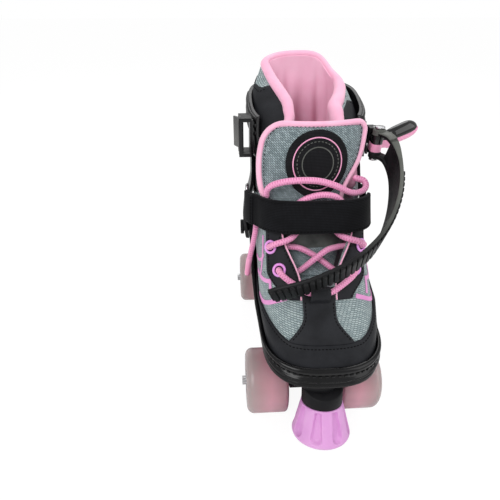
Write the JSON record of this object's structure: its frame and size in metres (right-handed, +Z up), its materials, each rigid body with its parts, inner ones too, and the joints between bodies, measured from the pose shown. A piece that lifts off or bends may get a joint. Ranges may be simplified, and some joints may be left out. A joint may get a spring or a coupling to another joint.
{
  "type": "quad roller skate",
  "caption": "Boot-type quad roller skate: laced mesh boot in a plastic shell with hinged cuff, lever buckle, steering trucks, wheels and a toe stop.",
  "frame": {"origin": "on the floor, midway between the two axles and between the two rows of wheels", "axes": "+X to the outer side of the foot where the lever is, -Y to the toe, +Z up"},
  "size_m": [0.1394, 0.2392, 0.243],
  "materials": {
    "black_plastic": "satin",
    "gloss_black": "gloss",
    "steel": "satin",
    "orchid_rubber": "matte",
    "cushion_rubber": "matte",
    "mauve_tyre": "satin",
    "pink_plastic": "satin",
    "grey_mesh": "woven mesh",
    "black_leather": "fine grain",
    "pink_lining": "soft satin",
    "pink_lace": "ribbed braid",
    "black_webbing": "webbing",
    "grey_plastic": "satin"
  },
  "bodies": {
    "boot": {"base_plate": "black_plastic", "toe_stop_holder": "black_plastic", "toe_stop": "orchid_rubber", "toe_stop_bolt": "steel", "kingpin_front": "steel", "kingpin_rear": "steel", "cushions_front": "cushion_rubber", "cushions_rear": "cushion_rubber", "kingpin_nuts": "steel", "pivot_cups": "black_plastic", "toe_shell": "black_plastic", "heel_shell": "black_plastic", "cuff_bolts": "black_plastic", "foot_upper": "grey_mesh", "ankle_quarters": "grey_mesh", "toe_rand": "black_leather", "vamp_strip": "black_leather", "insole": "pink_lining", "tongue": "grey_mesh", "tongue_patch": "black_leather", "eyestays": "black_leather", "eyelets": "pink_plastic", "lace_keeper": "black_webbing", "lace_rungs": "pink_lace", "lace_loop": "pink_lace", "lace_tail": "pink_lace", "instep_strap": "black_webbing", "strap_ring": "steel", "ring_tab": "black_webbing"},
    "front_truck_body": {"truck_front": "black_plastic", "axle_front": "steel", "inner_rings_front": "steel", "axle_nuts_front": "steel"},
    "rear_truck_body": {"truck_rear": "black_plastic", "axle_rear": "steel", "inner_rings_rear": "steel", "axle_nuts_rear": "steel"},
    "cuff_body": {"cuff": "black_plastic", "collar": "black_leather", "liner": "pink_lining", "lever_bracket": "black_plastic", "lever_pin": "steel", "catch_body": "black_plastic"},
    "lever_body": {"lever": "pink_plastic", "lever_cover": "gloss_black", "strap_rivet": "steel"},
    "strap_body": {"ladder_strap": "black_plastic"},
    "pawl_body": {"catch_tab": "grey_plastic"},
    "wheel_fl": {"tyre_fl": "mauve_tyre", "core_fl": "pink_plastic", "bearings_fl": "steel"},
    "wheel_fr": {"tyre_fr": "mauve_tyre", "core_fr": "pink_plastic", "bearings_fr": "steel"},
    "wheel_rl": {"tyre_rl": "mauve_tyre", "core_rl": "pink_plastic", "bearings_rl": "steel"},
    "wheel_rr": {"tyre_rr": "mauve_tyre", "core_rr": "pink_plastic", "bearings_rr": "steel"}
  },
  "joints": [
    {"name": "spin_fl", "type": "hinge", "parent": "front_truck_body", "child": "wheel_fl", "pos_m": [-0.0375, -0.072, 0.027], "axis": [1, 0, 0], "continuous": true},
    {"name": "spin_fr", "type": "hinge", "parent": "front_truck_body", "child": "wheel_fr", "pos_m": [0.0375, -0.072, 0.027], "axis": [1, 0, 0], "continuous": true},
    {"name": "spin_rl", "type": "hinge", "parent": "rear_truck_body", "child": "wheel_rl", "pos_m": [-0.0375, 0.072, 0.027], "axis": [1, 0, 0], "continuous": true},
    {"name": "spin_rr", "type": "hinge", "parent": "rear_truck_body", "child": "wheel_rr", "pos_m": [0.0375, 0.072, 0.027], "axis": [1, 0, 0], "continuous": true},
    {"name": "steer_front", "type": "hinge", "parent": "boot", "child": "front_truck_body", "pos_m": [0, -0.07, 0.045], "axis": [0, 0.8762, -0.4819], "range_deg": [-4, 4], "stiffness_Nm_per_rad": 12, "deforming": ["cushions_front"]},
    {"name": "steer_rear", "type": "hinge", "parent": "boot", "child": "rear_truck_body", "pos_m": [0, 0.07, 0.045], "axis": [0, -0.8762, -0.4819], "range_deg": [-4, 4], "stiffness_Nm_per_rad": 12, "deforming": ["cushions_rear"]},
    {"name": "cuff_flex", "type": "hinge", "parent": "boot", "child": "cuff_body", "pos_m": [0, 0.0358, 0.11332], "axis": [1, 0, 0], "range_deg": [-4, 4], "stiffness_Nm_per_rad": 8},
    {"name": "lever_swing", "type": "hinge", "parent": "cuff_body", "child": "lever_body", "pos_m": [0.04753, 0.0198, 0.19363], "axis": [0, 0, 1], "range_deg": [0, 60]},
    {"name": "ladder_swing", "type": "hinge", "parent": "lever_body", "child": "strap_body", "pos_m": [0.04703, 0.01001, 0.19363], "axis": [0, 0, 1], "range_deg": [-2, 30]},
    {"name": "pawl_lift", "type": "hinge", "parent": "cuff_body", "child": "pawl_body", "pos_m": [-0.053, 0.01902, 0.19793], "axis": [0, 0, 1], "range_deg": [0, 18], "stiffness_Nm_per_rad": 0.08}
  ]
}
